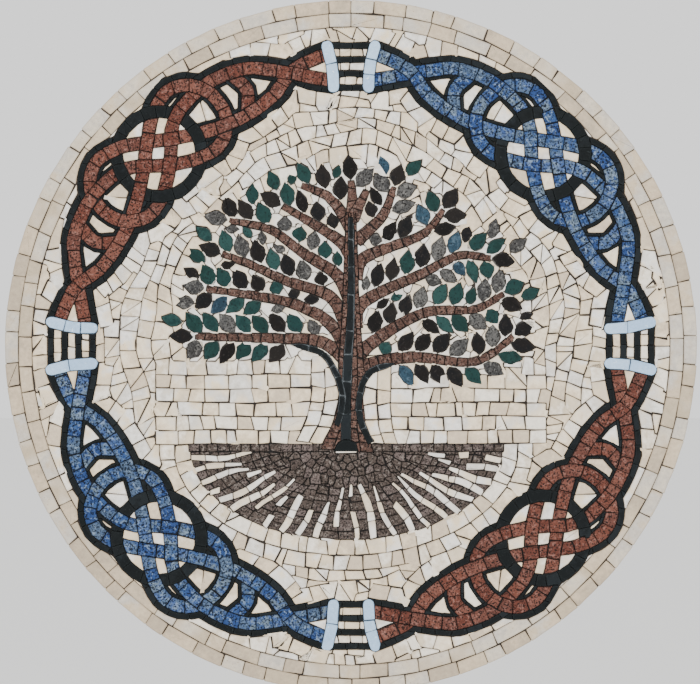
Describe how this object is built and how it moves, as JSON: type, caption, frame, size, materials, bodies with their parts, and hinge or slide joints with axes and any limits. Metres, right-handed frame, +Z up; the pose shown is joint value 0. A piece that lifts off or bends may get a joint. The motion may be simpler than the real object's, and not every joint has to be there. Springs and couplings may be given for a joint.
{
  "type": "mosaic panel",
  "caption": "Round stone mosaic wall panel: a tree of life with spreading roots inside a ring of red and blue interlaced knots, flat at the back.",
  "frame": {"origin": "centre of the round back face, which lies on the wall", "axes": "+Z up the picture, +Y out of the back face into the wall, so the picture faces -Y"},
  "size_m": [0.61, 0.012, 0.61],
  "materials": {
    "adhesive_bed": "matt cement adhesive",
    "cream_stone": "honed stone",
    "red_stone": "honed stone",
    "blue_stone": "honed stone",
    "dark_stone": "honed stone",
    "pale_blue_stone": "honed stone",
    "brown_stone": "honed stone",
    "leaf_stone": "honed stone"
  },
  "bodies": {
    "root": {"border_row_inner": "cream_stone", "border_row_outer": "cream_stone", "clasp_bottom_bar_1": "pale_blue_stone", "clasp_bottom_bar_2": "pale_blue_stone", "clasp_bottom_stripes": "dark_stone", "clasp_left_bar_1": "pale_blue_stone", "clasp_left_bar_2": "pale_blue_stone", "clasp_left_stripes": "dark_stone", "clasp_right_bar_1": "pale_blue_stone", "clasp_right_bar_2": "pale_blue_stone", "clasp_right_stripes": "dark_stone", "clasp_top_bar_1": "pale_blue_stone", "clasp_top_bar_2": "pale_blue_stone", "clasp_top_stripes": "dark_stone", "ground_inside": "cream_stone", "ground_outside_bottom": "cream_stone", "ground_outside_left": "cream_stone", "ground_outside_right": "cream_stone", "ground_outside_top": "cream_stone", "knot_lower_left_outline_inner": "dark_stone", "knot_lower_left_outline_outer": "dark_stone", "knot_lower_left_ring_arc_1": "dark_stone", "knot_lower_left_ring_arc_2": "dark_stone", "knot_lower_left_strands": "blue_stone", "knot_lower_right_outline_inner": "dark_stone", "knot_lower_right_outline_outer": "dark_stone", "knot_lower_right_ring_arc_1": "dark_stone", "knot_lower_right_ring_arc_2": "dark_stone", "knot_lower_right_strands": "red_stone", "knot_upper_left_outline_inner": "dark_stone", "knot_upper_left_outline_outer": "dark_stone", "knot_upper_left_ring_arc_1": "dark_stone", "knot_upper_left_ring_arc_2": "dark_stone", "knot_upper_left_strands": "red_stone", "knot_upper_right_outline_inner": "dark_stone", "knot_upper_right_outline_outer": "dark_stone", "knot_upper_right_ring_arc_1": "dark_stone", "knot_upper_right_ring_arc_2": "dark_stone", "knot_upper_right_strands": "blue_stone", "leaves": "leaf_stone", "root_cap": "dark_stone", "roots": "brown_stone", "setting_bed": "adhesive_bed", "trunk_and_branches": "brown_stone", "trunk_core": "dark_stone", "trunk_line": "dark_stone"}
  },
  "joints": []
}
